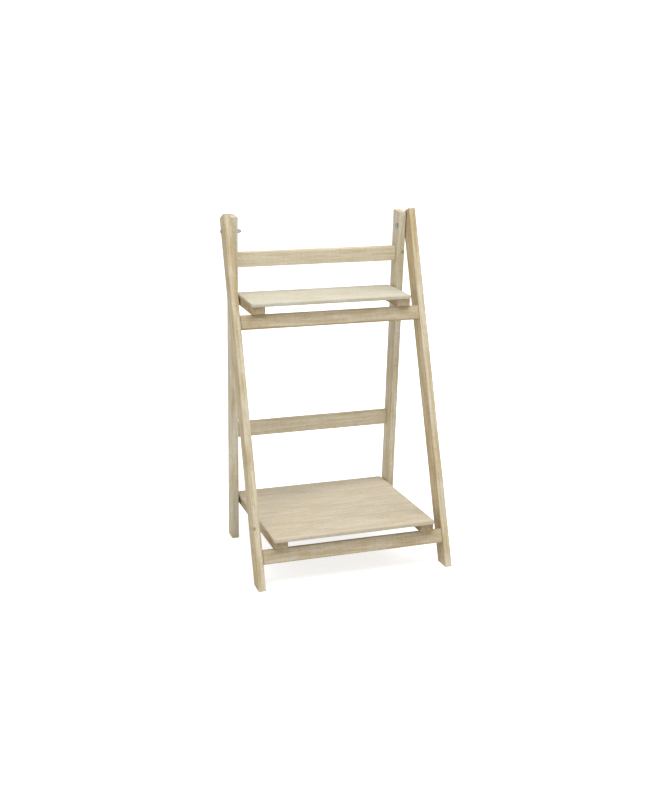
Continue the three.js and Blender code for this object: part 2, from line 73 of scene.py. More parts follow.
# %% Place the camera
PICTURE_WIDTH_PX = 669
FOCAL_LENGTH_PX = 1106.175
SENSOR_MM = 36.0
CAMERA_PLACE = (-0.70279, -2.24561, 0.90595)
CAMERA_YAW, CAMERA_PITCH, CAMERA_ROLL = np.radians((17.609, 13.402, -0.591))

forward = Vector((
    math.sin(CAMERA_YAW) * math.cos(CAMERA_PITCH),
    math.cos(CAMERA_YAW) * math.cos(CAMERA_PITCH),
    -math.sin(CAMERA_PITCH),
))
level_right = Vector((math.cos(CAMERA_YAW), -math.sin(CAMERA_YAW), 0.0))
level_up = level_right.cross(forward)
right = level_right * math.cos(CAMERA_ROLL) + level_up * math.sin(CAMERA_ROLL)
up = level_up * math.cos(CAMERA_ROLL) - level_right * math.sin(CAMERA_ROLL)

lens = bpy.data.cameras.new("camera")
lens.sensor_fit = "HORIZONTAL"
lens.sensor_width = SENSOR_MM
lens.lens = FOCAL_LENGTH_PX / PICTURE_WIDTH_PX * SENSOR_MM
lens.clip_start, lens.clip_end = 0.05, 60.0
camera = bpy.data.objects.new("camera", lens)
bpy.context.collection.objects.link(camera)
turn = Matrix((right, up, -forward)).transposed().to_4x4()
camera.matrix_world = Matrix.Translation(CAMERA_PLACE) @ turn
bpy.context.scene.camera = camera
bpy.context.scene.view_settings.view_transform = "Standard"
print(f"camera with a {lens.lens:.1f} mm lens")

# %% [markdown]
# ## Writing node trees as sums
# A finish is a sum of many small patterns. Wiring them by hand takes a page of links, so here is
# a number that varies over a surface, called a field: adding or multiplying two fields adds the
# node that does it. The recipes further down then read like the formulas that they are.

# %% A field is an output of a node tree
class Field:
    """A value that varies over a surface. Python's signs between fields add Math nodes."""

    def __init__(self, tree, socket):
        self.tree, self.socket = tree, socket

    def maths(self, operation, *others):
        made = self.tree.nodes.new("ShaderNodeMath")
        made.operation = operation
        for value, into in zip((self, *others), made.inputs):
            plug(value, into)
        return Field(self.tree, made.outputs[0])

    def __add__(self, other):
        return self.maths("ADD", other)

    def __sub__(self, other):
        return self.maths("SUBTRACT", other)

    def __mul__(self, other):
        return self.maths("MULTIPLY", other)

    def __truediv__(self, other):
        return self.maths("DIVIDE", other)

    def within(self, low, high):
        """0 where the field is at low, 1 where it is at high, and a smooth step between."""
        made = self.tree.nodes.new("ShaderNodeMapRange")
        made.interpolation_type = "SMOOTHSTEP"
        for value, name in ((self, "Value"), (low, "From Min"), (high, "From Max")):
            plug(value, made.inputs[name])
        return Field(self.tree, made.outputs["Result"])


def plug(value, into):
    """Puts a field, or a plain number or colour, into a socket."""
    if isinstance(value, Field):
        value.tree.links.new(value.socket, into)
    else:
        into.default_value = value


def vector_maths(operation, first, second):
    made = first.tree.nodes.new("ShaderNodeVectorMath")
    made.operation = operation
    plug(first, made.inputs[0])
    plug(second, made.inputs[1])
    return Field(first.tree, made.outputs["Vector"])


def parts_of(vector):
    """The three numbers of a vector field."""
    made = vector.tree.nodes.new("ShaderNodeSeparateXYZ")
    plug(vector, made.inputs[0])
    return [Field(vector.tree, out) for out in made.outputs]


def noise(vector, per_mm, seed, detail=2.0, output="Fac"):
    """Cloudy noise with per_mm cells a millimetre along each axis, in its own place in space."""
    scaled = vector_maths("MULTIPLY", vector, per_mm)
    moved = vector_maths("ADD", scaled, (seed * 3.17, seed * 7.31, seed * 5.23))
    made = vector.tree.nodes.new("ShaderNodeTexNoise")
    plug(moved, made.inputs["Vector"])
    plug(1.0, made.inputs["Scale"])
    plug(detail, made.inputs["Detail"])
    return Field(vector.tree, made.outputs[output])


def blend(amount, first, second, mode="MIX"):
    """The first colour where amount is 0, the second where it is 1."""
    tree = amount.tree
    made = tree.nodes.new("ShaderNodeMix")
    made.data_type, made.blend_type = "RGBA", mode
    plug(amount, made.inputs[0])
    plug(first, made.inputs[6])
    plug(second, made.inputs[7])
    return Field(tree, made.outputs[2])


def paint(red, green, blue):
    """A colour as a paint chart gives it, from 0 to 255, in the linear light that nodes use."""
    chart = np.array((red, green, blue)) / 255.0
    linear = np.where(chart <= 0.04045, chart / 12.92, ((chart + 0.055) / 1.055) ** 2.4)
    return (*linear.tolist(), 1.0)


def add_bump(tree, shader, strength, height):
    """Makes a height, in millimetres, tilt the light as a real bump would."""
    bump = tree.nodes.new("ShaderNodeBump")
    plug(strength, bump.inputs["Strength"])
    plug(MM, bump.inputs["Distance"])
    plug(height, bump.inputs["Height"])
    tree.links.new(bump.outputs["Normal"], shader.inputs["Normal"])


def new_material(name):
    """A bare material, with its shader and the place on the piece, read off the piece itself."""
    material = bpy.data.materials.new(name)
    material.use_nodes = True
    tree = material.node_tree
    shader = tree.nodes["Principled BSDF"]
    place = tree.nodes.new("ShaderNodeTexCoord")
    return material, tree, shader, place


print("field helpers ready")

# %% [markdown]
# ## Floor and light
# The stand stands on a seamless white sheet. Half of the light comes from all round, and half
# from one long lamp high up and a little in front, like a row of windows. It is narrow from front
# to back, so the boards throw a clear shadow on the upper half of each front rail, and so wide
# from left to right that the legs throw none that can be seen. The sheet looks white to the
# camera and to anything shiny, but it sheds no more light on the wood than plain paper.

# %% Light the room
WHITE = (1.0, 1.0, 1.0, 1.0)
WORLD_LEVEL = 0.46
KEY_WATTS = 200.0
KEY_SIZE = (9.0, 1.3)
KEY_PLACE = (0.60, -1.36, 4.25)


def seen_straight(tree):
    """1 where the camera looks at a thing, in a mirror or through glass too. 0 where the thing
    only sheds light on others."""
    path = tree.nodes.new("ShaderNodeLightPath")
    straight, mirrored, through = (
        Field(tree, path.outputs[name])
        for name in ("Is Camera Ray", "Is Glossy Ray", "Is Transmission Ray"))
    return straight.maths("MAXIMUM", mirrored).maths("MAXIMUM", through)


world = bpy.data.worlds.new("studio")
bpy.context.scene.world = world
world.use_nodes = True
sky = world.node_tree
backdrop = sky.nodes["Background"]
plug(WHITE, backdrop.inputs["Color"])
plug(seen_straight(sky) * (1.0 - WORLD_LEVEL) + WORLD_LEVEL, backdrop.inputs["Strength"])

key_light = bpy.data.lights.new("key", "AREA")
key_light.shape, key_light.energy = "RECTANGLE", KEY_WATTS
key_light.size, key_light.size_y = KEY_SIZE
key = bpy.data.objects.new("key", key_light)
bpy.context.collection.objects.link(key)
key_turn = Vector(KEY_PLACE).to_track_quat("Z", "Y").to_matrix().to_4x4()
key.matrix_world = Matrix.Translation(KEY_PLACE) @ key_turn

# %% [markdown]
# The sheet is one large square. It could be made white with a lot of light, but that light would
# bounce up and bleach the wood. Instead it glows for the camera only: fully at a distance, and a
# little less near the stand, where the stand's own soft shadow shows.

# %% Lay the floor
FLOOR_HALF = 20.0
FLOOR_DROP = 0.1 * MM
PAPER_GREY = paint(224, 224, 224)
GLOW_NEAR, GLOW_FAR = 0.72, 1.0
SHADOW_REACH = (0.35, 1.1)

corners = [(-1, -1), (1, -1), (1, 1), (-1, 1)]
floor_mesh = bpy.data.meshes.new("floor")
floor_mesh.from_pydata(
    [(x * FLOOR_HALF, y * FLOOR_HALF, -FLOOR_DROP) for x, y in corners], [], [(0, 1, 2, 3)])
floor = bpy.data.objects.new("floor", floor_mesh)
bpy.context.collection.objects.link(floor)

paper, paper_tree, paper_shader, paper_place = new_material("paper")
paper_x, paper_y, _ = parts_of(Field(paper_tree, paper_place.outputs["Object"]))
from_stand = (paper_x * paper_x + paper_y * paper_y).maths("SQRT")
glow = from_stand.within(*SHADOW_REACH) * (GLOW_FAR - GLOW_NEAR) + GLOW_NEAR
plug(PAPER_GREY, paper_shader.inputs["Base Color"])
plug(0.9, paper_shader.inputs["Roughness"])
plug(0.0, paper_shader.inputs["Specular IOR Level"])
plug(WHITE, paper_shader.inputs["Emission Color"])
plug(seen_straight(paper_tree) * glow, paper_shader.inputs["Emission Strength"])
floor.data.materials.append(paper)
print("floor of", 2 * FLOOR_HALF, "metres")

# %% [markdown]
# ## Where each stick lies
# A stick of wood is easiest to shape and to paint in its own axes: u and v across it, and w along
# its grain. The raked frames would otherwise turn every sum into a tangle, and so would the upper
# shelf, which slopes down a little to the front. Three turns about X and Y bring any stick of
# this stand upright, and the same three turns later go into the material's Mapping node, so that
# the grain runs the right way without a texture to unwrap.

# %% The axes of a stick
FRONT_RAKE = math.radians(16.9)
REAR_LEAN = math.radians(6.8)
SHELF_SLOPE = {"upper": math.radians(2.6), "lower": 0.0}
QUARTER = math.pi / 2
JOINT_GAP = 0.3
UPRIGHT = {
    "front_leg": (FRONT_RAKE, 0.0, 0.0),
    "rear_leg": (-REAR_LEAN, 0.0, 0.0),
    "front_rail": (FRONT_RAKE, -QUARTER, 0.0),
    "back_rail": (-REAR_LEAN, -QUARTER, 0.0),
    "board": (0.0, -QUARTER, 0.0),
    "cleat": (QUARTER, 0.0, 0.0),
}


def node_points(node):
    """The corners of a measured piece, in metres."""
    mesh = frame["nodes"][node].data
    flat = np.empty(len(mesh.vertices) * 3)
    mesh.vertices.foreach_get("co", flat)
    return flat.reshape(-1, 3)


class Stick:
    """A measured stick in its own axes, in millimetres, with its middle at the origin."""

    def __init__(self, node, kind):
        self.node, self.kind = node, kind
        slope = SHELF_SLOPE.get(node.split("_")[0], 0.0)
        self.turns = (UPRIGHT[kind][0] - slope, *UPRIGHT[kind][1:])
        self.matrix = np.array(Euler(self.turns).to_matrix())
        points = node_points(node) / MM @ self.matrix.T
        low, high = points.min(axis=0), points.max(axis=0)
        if kind.endswith("rail"):
            # The tenons are inside the legs; what shows is the bar between them.
            inner = "front_leg_right" if kind == "front_rail" else "rear_leg_right"
            high[2] = node_points(inner)[:, 0].min() / MM - JOINT_GAP
            low[2] = -high[2]
        self.middle = (low + high) / 2
        self.half = (high - low) / 2

    def to_world(self, points):
        """Points in the stick's axes as points in the room, in metres."""
        return (points + self.middle) @ self.matrix * MM


sticks = {}
for node in sorted(body_of):
    kinds = [kind for kind in UPRIGHT if kind in node and "screw" not in node]
    if kinds:
        sticks[node] = Stick(node, kinds[0])
print({node: (2 * stick.half).round(1).tolist() for node, stick in sticks.items()})

# %% [markdown]
# ## A stick as a stack of rings
# Planed timber looks like a box, but a box has edges like knives and dead flat sides. The real
# thing has edges eased with a sanding block, a little more here and less there, and sides that
# wander by a tenth of a millimetre. A bevel would round every edge the same, so the sticks are
# worked out as surfaces of two numbers: one runs round a rounded rectangle, the other goes from
# ring to ring along the stick.

# %% A surface through a stack of rounded rectangles
CORNER_STEPS = 4
SIDE_STOPS = (0.015, 0.25, 0.5, 0.75, 0.985)
END_STEPS = 3
FLAT_RING = 0.4


def rings(low, high, radius):
    """Rounded rectangles, one a row. A ring goes round its four corners: each corner is a quarter
    circle about the corner's centre, and each side is the straight line to the next corner."""
    low, high, radius = (np.asarray(a, float) for a in (low, high, radius))
    start = np.array([2, 3, 0, 1]) * QUARTER
    angle = start[:, None] + np.linspace(0, QUARTER, CORNER_STEPS + 1)
    at_high = np.array([[0, 0], [1, 0], [1, 1], [0, 1]])
    edge = np.where(at_high, high[:, None, :], low[:, None, :])
    inward = np.where(at_high, -1.0, 1.0)
    centre = edge + inward * radius[:, :, None]
    circle = np.stack([np.cos(angle), np.sin(angle)], axis=-1)
    arc = centre[:, :, None, :] + radius[:, :, None, None] * circle[None]
    here, there = arc[:, :, -1:, :], np.roll(arc, -1, axis=1)[:, :, :1, :]
    stops = np.array(SIDE_STOPS)[None, None, :, None]
    side = here * (1 - stops) + there * stops
    return np.concatenate([arc, side], axis=2).reshape(len(low), -1, 2)


def stack_faces(rows, columns):
    """The faces between the rings of a stack, and its two closed ends, facing outwards."""
    row, column = np.meshgrid(np.arange(rows - 1), np.arange(columns), indexing="ij")
    after = (column + 1) % columns
    quads = np.stack([row * columns + column, row * columns + after,
                      (row + 1) * columns + after, (row + 1) * columns + column], axis=-1)
    ring = np.arange(columns)
    ends = [ring[::-1].tolist(), (ring + (rows - 1) * columns).tolist()]
    return quads.reshape(-1, 4).tolist() + ends


def eased_end(radius):
    """How far each ring of a rounded end lies behind the end, and how far it is drawn in: a
    quarter circle, with one more ring on the flat of the end."""
    angle = np.linspace(0, QUARTER, END_STEPS + 1)
    behind = np.concatenate([[0.0], radius * (1 - np.cos(angle))])
    inset = np.concatenate([[radius + FLAT_RING], radius * (1 - np.sin(angle))])
    return behind, inset


def wander(rng, along, longest):
    """A smooth wave between 0 and 1: three sines of random phase, each shorter than the last."""
    lengths = longest / np.array([1.0, 2.3, 5.1])
    phases = rng.uniform(0, 2 * np.pi, 3)
    waves = np.sin(along[:, None] / lengths * 2 * np.pi + phases) * np.array([0.5, 0.3, 0.2])
    return waves.sum(axis=1) / 2 + 0.5


print("rings of", (CORNER_STEPS + 1 + len(SIDE_STOPS)) * 4, "points")

# %% [markdown]
# A bar has its rings across it and is drawn in at both ends. Its ends are planes, and the foot of
# a raked leg is a slanting one, so a ring's place along the bar is a blend of the two end planes.

# %% Bars
RING_SPACING = 9.0
SIDE_WANDER = 0.12
SIDE_WAVE, EDGE_WAVE = 420.0, 240.0
END_RADIUS = 0.7
rng = np.random.default_rng(19)


def bar_surface(stick, radius, low_end, high_end):
    """A bar: along it, u and v are those of the rings, and w is a blend of the two ends' planes.
    low_end and high_end give w from v."""
    behind, inset = eased_end(END_RADIUS)
    length = 2 * stick.half[2]
    margin = (END_RADIUS + 0.5) / length
    body = np.linspace(0, 1, max(3, round(length / RING_SPACING)))
    body[0], body[-1] = margin, 1 - margin
    ends = len(behind)
    share = np.concatenate([np.zeros(ends), body, np.ones(ends)])
    offset = np.concatenate([behind, np.zeros(len(body)), -behind[::-1]])
    inset = np.concatenate([inset, np.zeros(len(body)), inset[::-1]])
    along = share * length
    draw = [inset + SIDE_WANDER * wander(rng, along, SIDE_WAVE) for _ in range(4)]
    low = np.stack([-stick.half[0] + draw[0], -stick.half[1] + draw[1]], axis=-1)
    high = np.stack([stick.half[0] - draw[2], stick.half[1] - draw[3]], axis=-1)
    eased = [radius * (0.7 + 0.6 * wander(rng, along, EDGE_WAVE)) for _ in range(4)]
    corner = np.maximum(np.stack(eased, axis=-1) - inset[:, None], 0.25)
    across = rings(low, high, corner)
    v = across[..., 1]
    share, offset = share[:, None], offset[:, None]
    w = low_end(v) * (1 - share) + high_end(v) * share + offset
    return np.concatenate([across, w[..., None]], axis=-1)


def foot_plane(stick):
    """w of the level foot of a raked leg, from v: the plane where the height in the room is 0."""
    lift = stick.matrix[:, 2]
    return lambda v: -(v + stick.middle[1]) * lift[1] / lift[2] - stick.middle[2]


def square_plane(w):
    """The same w for every v, as where a bar is sawn square."""
    return lambda v: np.full_like(v, w)


print("a ring every", RING_SPACING, "mm")

# %% [markdown]
# A board is so thin that its rings are better laid flat, one above the other. Its outer edges are
# rounded and its corners clipped round, but an edge that is glued to the next board stays sharp,
# so each side has an easing of its own.

# %% Boards
EASING = {"front_leg": 1.9, "rear_leg": 1.9, "front_rail": 1.5, "back_rail": 1.5, "cleat": 0.8}
BOARD_EDGE, GLUE_EDGE = 1.8, 0.10
BOARD_CORNER, GLUE_CORNER = 6.5, 0.6


def board_surface(stick, corners, front_inset, back_inset):
    """A board: its rings lie flat, one above the other through its thickness, and are drawn in
    towards both faces. A ring is a rectangle in v and w, and u is its height."""
    behind, inset = eased_end(BOARD_EDGE)
    thickness = 2 * stick.half[0]
    level = np.concatenate([behind, [thickness / 2], thickness - behind[::-1]])
    inset = np.concatenate([inset, [0.0], inset[::-1]]) / BOARD_EDGE
    low = np.stack([-stick.half[1] + inset * front_inset, -stick.half[2] + inset * BOARD_EDGE], -1)
    high = np.stack([stick.half[1] - inset * back_inset, stick.half[2] - inset * BOARD_EDGE], -1)
    drawn = np.minimum(inset * BOARD_EDGE, np.array(corners)[:, None] * 0.8).T
    flat = rings(low, high, np.array(corners)[None, :] - drawn)
    u = np.broadcast_to((level - stick.half[0])[:, None, None], flat.shape[:2] + (1,))
    return np.concatenate([u, flat], axis=-1)


def surface_of(node, stick):
    """The surface of any stick, as rows of rings."""
    if stick.kind == "board":
        shelf = node.split("_board_")[0]
        count = sum(n.startswith(f"{shelf}_board_") for n in sticks)
        number = int(node.rsplit("_", 1)[1])
        first, last = number == 1, number == count
        front = BOARD_CORNER if first else GLUE_CORNER
        back = BOARD_CORNER if last else GLUE_CORNER
        return board_surface(stick, (front, back, back, front),
                             BOARD_EDGE if first else GLUE_EDGE, BOARD_EDGE if last else GLUE_EDGE)
    low = foot_plane(stick) if "leg" in stick.kind else square_plane(-stick.half[2])
    return bar_surface(stick, EASING[stick.kind], low, square_plane(stick.half[2]))


surfaces = {node: surface_of(node, stick) for node, stick in sticks.items()}
print("points on all sticks:", sum(s.shape[0] * s.shape[1] for s in surfaces.values()))

# %% [markdown]
# ## Turned shapes
# Bolts, screws, nuts, washers and the drill that makes their holes are all turned round an axis.
# Spin or Screw would do it, but a radius that depends on the angle as well gives threads, cross
# slots and six-sided nuts from the same few lines.

# %% A surface turned round an axis
TURN_SIDES = 72


def turned(radius, height, closed=False):
    """Points at radius and height for each angle round Z. Both are arrays with a row for each
    step of the profile, and either one column or one for each angle. A closed profile joins its
    last row to its first, as a ring does; an open one starts and ends in a point on the axis."""
    angle = np.linspace(0, 2 * np.pi, TURN_SIDES, endpoint=False)
    radius, height = np.broadcast_arrays(radius, height, np.zeros(TURN_SIDES))[:2]
    points = np.stack([radius * np.cos(angle), radius * np.sin(angle), height], axis=-1)
    rows, columns = radius.shape
    faces = stack_faces(rows, columns)
    if not closed:
        return points.reshape(-1, 3), faces
    column = np.arange(columns)
    after = (column + 1) % columns
    last = (rows - 1) * columns
    seam = np.stack([last + column, last + after, after, column], axis=-1)
    return points.reshape(-1, 3), faces[:-2] + seam.tolist()


def profile(*steps):
    """Two columns, of radii and of heights, from (radius, height) steps."""
    table = np.array(steps, float)
    return table[:, :1], table[:, 1:]


def laid(points, axis, start):
    """Turns points whose axis is Z along another axis, and moves their origin to start."""
    turn = np.array(Vector(axis).to_track_quat("Z", "Y").to_matrix())
    return points @ turn.T + np.asarray(start)


def make_mesh(name, points, faces):
    """A mesh from points in metres and faces that point outwards."""
    mesh = bpy.data.meshes.new(name)
    mesh.from_pydata(np.asarray(points).tolist(), [], faces)
    mesh.validate()
    return mesh


WOOD_CREASE, METAL_CREASE = 34.0, 28.0


def crease(mesh, degrees):
    """Smooth shading, broken where two faces meet at more than the angle."""
    mesh.shade_smooth()
    mesh.set_sharp_from_angle(angle=math.radians(degrees))


def stand_in(node, mesh):
    """Puts a finished mesh in the place of a measured piece."""
    piece = bpy.data.objects.new(f"made_{node}", mesh)
    bpy.context.collection.objects.link(piece)
    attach(piece, body_of[node])
    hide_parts(node)
    return piece


print("turned shapes have", TURN_SIDES, "sides")

# %% [markdown]
# ## Drilling
# The holes have to be there: a screw head sits in its countersink, and a pin stands in its slot
# and leaves it when the stand folds. What goes into a hole is read off the measured pieces. The
# board screws stand square to their shelf, and one shelf slopes, so they are read with their
# shelf turned level.

# %% Measure the metal
BOLT_SHANK = 2.5
PIVOT_SHANK, PIVOT_HEAD = 2.5, 4.5
SCREW_SHANK, SCREW_HEAD = 1.75, 3.5
PIN_RADIUS = 2.0
board_screws = sorted(node for node in body_of if "_board_screw_" in node)


def span(node):
    """A measured piece's lowest corner, highest corner and middle, in millimetres."""
    low, high = (np.array(corner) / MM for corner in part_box(node))
    return low, high, (low + high) / 2


def leveller(shelf):
    """The turn that brings a shelf level. Its rows are the shelf's own axes in the room."""
    return np.array(Euler((-SHELF_SLOPE[shelf], 0.0, 0.0)).to_matrix())


def levelled(node, shelf):
    """A piece's corners, in millimetres, with its shelf turned level."""
    return node_points(node) / MM @ leveller(shelf).T


def board_screw(node):
    """Where the face of a board screw is, which way is up through it, and how long it is."""
    shelf = node.split("_")[0]
    points, level = levelled(node, shelf), leveller(shelf)
    low, high = points.min(axis=0), points.max(axis=0)
    face = np.array([(low[0] + high[0]) / 2, (low[1] + high[1]) / 2, low[2]])
    return face @ level, level[2], high[2] - low[2]


def locating_pin(shelf, side):
    """Where the foot of a pin is, which way it points, and how long it is. It stands square to
    the rail's top edge, which is against u in the rail's own axes."""
    points = node_points(f"locating_pin_{shelf}_{side}") / MM
    along = sticks[f"front_rail_{shelf}"].matrix.T @ np.array([-1.0, 0.0, 0.0])
    reach = points @ along
    middle = (points.min(axis=0) + points.max(axis=0)) / 2
    foot = middle + along * (reach.min() - middle @ along)
    return foot, along, reach.max() - reach.min()


print("board screws:", len(board_screws))

# %% [markdown]
# The sums above can't make a hole, so each drill is a solid that is later taken away from the
# stick. A drill is a little wider than what goes into its hole, and it starts outside the wood,
# so that no two faces fall together.

# %% Make the drills
HOLE_EASE = 0.3
BOLT_DRILL, PIN_DRILL = 60.0, 40.0
PIVOT_SHORTER, SCREW_SHORTER = 1.5, 1.0
SLOT_EASE, SLOT_CORNER = 0.5, 0.8


def straight_drill(radius, length):
    """A plain round hole."""
    wide = radius + HOLE_EASE
    return turned(*profile((0, 0), (wide, 0), (wide, length), (0, length)))


def countersunk_drill(head, shank, length):
    """The hole of a countersunk screw, from outside the wood down to past its point."""
    wide, narrow = head + HOLE_EASE, shank + HOLE_EASE
    top = HOLE_EASE / 2
    return turned(*profile((0, -2), (wide, -2), (wide, top), (narrow, top + wide - narrow),
                           (narrow, length), (0, length + narrow)))


def pin_slot(node, shelf, side):
    """A slot up into a cleat from below: a rounded rectangle, as long as the measured slot. It is
    worked out with the shelf level, and turned back at the end."""
    pin_points = levelled(f"locating_pin_{shelf}_{side}", shelf)
    pin = (pin_points.min(axis=0) + pin_points.max(axis=0)) / 2
    measured = levelled(node, shelf)
    bottom = measured[:, 2].min()
    beside, before = np.abs(measured[:, :2] - pin[:2]).T
    inside = measured[(beside < PIN_RADIUS + 1) & (before < 40)]
    half = PIN_RADIUS + SLOT_EASE
    front, back = inside[:, 1].min(), inside[:, 1].max()
    roof = inside[:, 2][inside[:, 2] > bottom + 1].max()
    flat = rings([[pin[0] - half, front]] * 2, [[pin[0] + half, back]] * 2,
                 [[SLOT_CORNER] * 4] * 2)
    height = np.array([bottom - 5, roof])[:, None, None]
    points = np.concatenate([flat, np.broadcast_to(height, flat.shape[:2] + (1,))], axis=-1)
    return points.reshape(-1, 3) @ leveller(shelf), stack_faces(2, flat.shape[1])


def drills_for(node):
    """The solids to take away from a stick, each as points in millimetres with its faces."""
    stick, found = sticks[node], []
    side, out = ("left", -1.0) if node.endswith("left") else ("right", 1.0)

    def drill(shape, axis, start):
        found.append((laid(shape[0], axis, start), shape[1]))

    if "leg" in stick.kind:
        x, y, z = span(f"hinge_bolt_{side}")[2]
        drill(straight_drill(BOLT_SHANK, BOLT_DRILL), (1, 0, 0), (x - BOLT_DRILL / 2, y, z))
    for shelf in ("upper", "lower"):
        if stick.kind == "rear_leg" or (stick.kind == "cleat" and node.startswith(shelf)):
            low, high, (_, y, z) = span(f"{shelf}_pivot_screw_{side}")
            length = high[0] - low[0] - PIVOT_SHORTER
            drill(countersunk_drill(PIVOT_HEAD, PIVOT_SHANK, length), (-out, 0, 0),
                  (high[0] if out > 0 else low[0], y, z))
        if stick.kind == "cleat" and node.startswith(shelf):
            found.append(pin_slot(node, shelf, side))
    for name in board_screws:
        number = name.rsplit("_", 1)[1]
        mine = side in name if stick.kind == "cleat" else node.endswith(f"_board_{number}")
        if mine and node.startswith(name.split("_")[0]):
            face, into, length = board_screw(name)
            drill(countersunk_drill(SCREW_HEAD, SCREW_SHANK, length - SCREW_SHORTER), into, face)
    if stick.kind == "front_rail":
        for pin_side in ("left", "right"):
            foot, along, _ = locating_pin(node.rsplit("_", 1)[1], pin_side)
            drill(straight_drill(PIN_RADIUS, PIN_DRILL), along, foot - along * HOLE_EASE)
    return found


print("drills for a rear leg:", len(drills_for("rear_leg_left")))

# %% [markdown]
# A Boolean takes the drills away from the stick, and is applied at once, so nothing is left that
# has to be worked out again when the stand is posed.

# %% Shape and drill the wood
def drilled(mesh, drills):
    """The mesh with every drill's solid taken away."""
    if not drills:
        return mesh
    first = np.cumsum([0] + [len(points) for points, _ in drills])
    points = np.concatenate([points for points, _ in drills]) * MM
    faces = [[corner + start for corner in face]
             for (_, made), start in zip(drills, first) for face in made]
    work = bpy.data.objects.new("work", mesh)
    tool = bpy.data.objects.new("tool", make_mesh("tool", points, faces))
    for thing in (work, tool):
        bpy.context.collection.objects.link(thing)
    cut = work.modifiers.new("drill", "BOOLEAN")
    cut.operation, cut.solver, cut.object = "DIFFERENCE", "EXACT", tool
    finished = work.evaluated_get(bpy.context.evaluated_depsgraph_get())
    result = bpy.data.meshes.new_from_object(finished)
    for thing in (work, tool):
        data = thing.data
        bpy.data.objects.remove(thing)
        bpy.data.meshes.remove(data)
    return result


wood_pieces = {}
for node, stick in sticks.items():
    surface = surfaces[node]
    points = stick.to_world(surface.reshape(-1, 3))
    mesh = make_mesh(node, points, stack_faces(*surface.shape[:2]))
    mesh = drilled(mesh, drills_for(node))
    mesh.name = f"made_{node}"
    crease(mesh, WOOD_CREASE)
    wood_pieces[node] = stand_in(node, mesh)
print("wooden pieces:", {node: len(p.data.polygons) for node, p in wood_pieces.items()})

# %% [markdown]
# ## Bolts, nuts, washers and screws
# All the metal is small and bright. A bolt's thread is a radius that rises and falls once a turn
# and once a pitch along it, a screw's cross slot is a height that drops inside two crossed bars,
# and a nut is a hexagon whose corners are cut by a cone. From a few steps away they are glints,
# but the light only glints rightly off the right shape.

# %% Screws and bolts
ANGLE = np.linspace(0, 2 * np.pi, TURN_SIDES, endpoint=False)[None, :]


def smooth(x):
    """A soft step: 0 up to 0, 1 from 1, and 3x^2 - 2x^3 between."""
    x = np.clip(x, 0, 1)
    return x * x * (3 - 2 * x)


def cross_depth(radius, reach, width, depth):
    """How deep a cross slot is at a radius and angle: full depth inside either of two bars, with
    sides that slope in, and ends that slope up to the face."""
    x, y = radius * np.cos(ANGLE), radius * np.sin(ANGLE)
    bars = [smooth((width - np.abs(a)) / 0.35 + 0.5) * smooth((reach - np.abs(b)) / 0.9)
            for a, b in ((x, y), (y, x))]
    return depth * np.maximum(*bars)


def countersunk_screw(head, shank, length):
    """A screw from its flat face at height 0 to its point. The thread starts below the head."""
    face = np.linspace(0, 1, 15)[:, None] * (head - 0.15)
    top = cross_depth(face, head * 0.62, head * 0.16, head * 0.42)
    neck = head - shank
    pitch, thread_depth = 1.6, 0.45
    turns = np.linspace(neck + 1.5, length - 2 * shank, int(length * 3))[:, None]
    wave = np.abs(((turns / pitch - ANGLE / (2 * np.pi)) % 1.0) * 2 - 1)
    thread = shank - thread_depth * (1 - wave) * smooth((turns - neck - 1.5) / 2)
    tip = np.array([[length - shank], [length]])
    radius = [face + 0 * ANGLE, np.array([[head], [shank], [shank]]) + 0 * ANGLE, thread,
              np.array([[shank * 0.5], [0.05]]) + 0 * ANGLE]
    height = [top, np.array([[0.12], [neck], [neck + 1.4]]) + 0 * ANGLE, turns + 0 * ANGLE,
              tip + 0 * ANGLE]
    return turned(np.concatenate(radius)[::-1], -np.concatenate(height)[::-1])


def machine_bolt(head, head_height, shank, length):
    """A bolt from its end at height 0 to the top of its domed head, whose seat is at length."""
    pitch, thread_depth, rim = 0.8, 0.42, 1.0
    turns = np.linspace(0.6, 14.0, 104)[:, None]
    wave = np.abs(((turns / pitch - ANGLE / (2 * np.pi)) % 1.0) * 2 - 1)
    thread = shank - thread_depth * (1 - wave)
    dome = np.linspace(0, QUARTER, 13)[:, None]
    cap = (head - 0.2) * np.cos(dome) + 0.02
    crown = length + rim + (head_height - rim) * np.sin(dome)
    crown = crown - cross_depth(cap, head * 0.55, head * 0.13, head * 0.3)
    radius = [np.array([[0.05], [shank - 0.6]]) + 0 * ANGLE, thread,
              np.array([[shank], [shank], [head - 0.25], [head], [head]]) + 0 * ANGLE,
              cap + 0 * ANGLE]
    height = [np.array([[0.0], [0.0]]) + 0 * ANGLE, turns + 0 * ANGLE,
              np.array([[14.6], [length], [length], [length + 0.25], [length + rim]]) + 0 * ANGLE,
              crown]
    return turned(np.concatenate(radius), np.concatenate(height))


print("corners of a board screw:", len(countersunk_screw(3.5, 1.75, 20.0)[0]))

# %% [markdown]
# The rest are rings and a plain pin. A ring's profile is closed: it goes up the outside, and down
# again along the bore.

# %% Nuts, washers and pins
def hex_nut(flats, bore, height):
    """A nut: the hexagon's radius at each angle, cut by a cone near both faces, round a bore."""
    corner_angle = (ANGLE + math.pi / 6) % (math.pi / 3) - math.pi / 6
    hexagon = flats / 2 / np.cos(corner_angle)
    level = np.array([0.0, 0.12, 0.3, 0.5, height - 0.5, height - 0.3, height - 0.12, height])
    level = level[:, None]
    cone = flats / 2 - 0.15 + 1.7 * np.minimum(level, height - level)
    inner = np.array([[bore + 0.35], [bore], [bore], [bore + 0.35]]) + 0 * ANGLE
    inner_level = np.array([[height], [height - 0.35], [0.35], [0.0]]) + 0 * ANGLE
    return turned(np.concatenate([np.minimum(hexagon, cone), inner]),
                  np.concatenate([level + 0 * ANGLE, inner_level]), closed=True)


